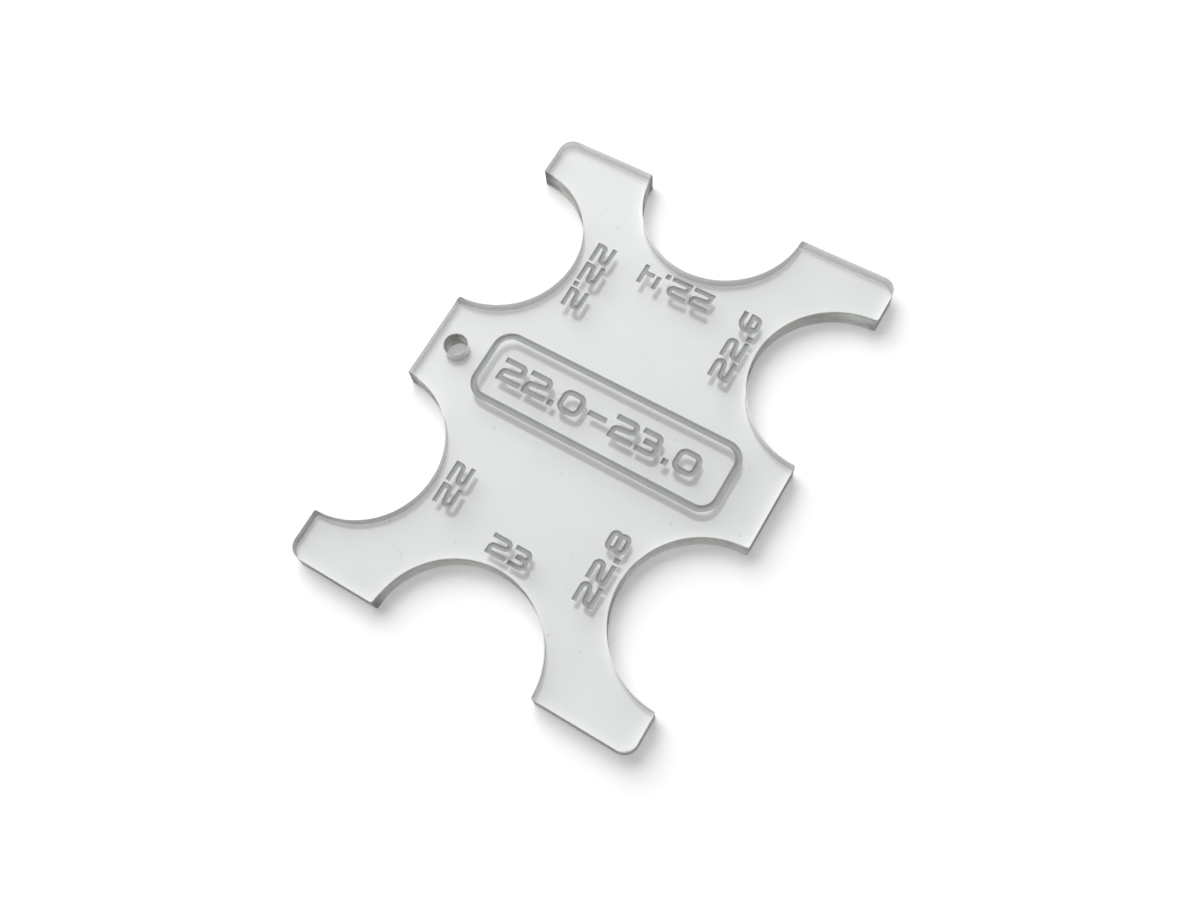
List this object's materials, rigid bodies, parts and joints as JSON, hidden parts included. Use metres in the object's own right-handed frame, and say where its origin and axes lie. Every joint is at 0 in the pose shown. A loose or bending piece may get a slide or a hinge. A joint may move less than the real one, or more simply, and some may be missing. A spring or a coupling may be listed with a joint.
{
  "type": "tire diameter gauge",
  "caption": "Clear acrylic plate with graded half-round notches in its edges, used to sort small tyres by diameter, with an engraved frame and a hanging hole.",
  "frame": {"origin": "middle of the plate's lower face, which it lies on", "axes": "+Z out of the engraved face, +Y along the longer side towards the 22.4 mm notch, +X towards the 22.6 mm and 22.8 mm notches"},
  "size_m": [0.05, 0.07, 0.003],
  "materials": {
    "clear_acrylic": "clear and polished, with laser-cut edges and frosted engraving"
  },
  "bodies": {
    "root": {"gauge_plate": "clear_acrylic"}
  },
  "joints": []
}
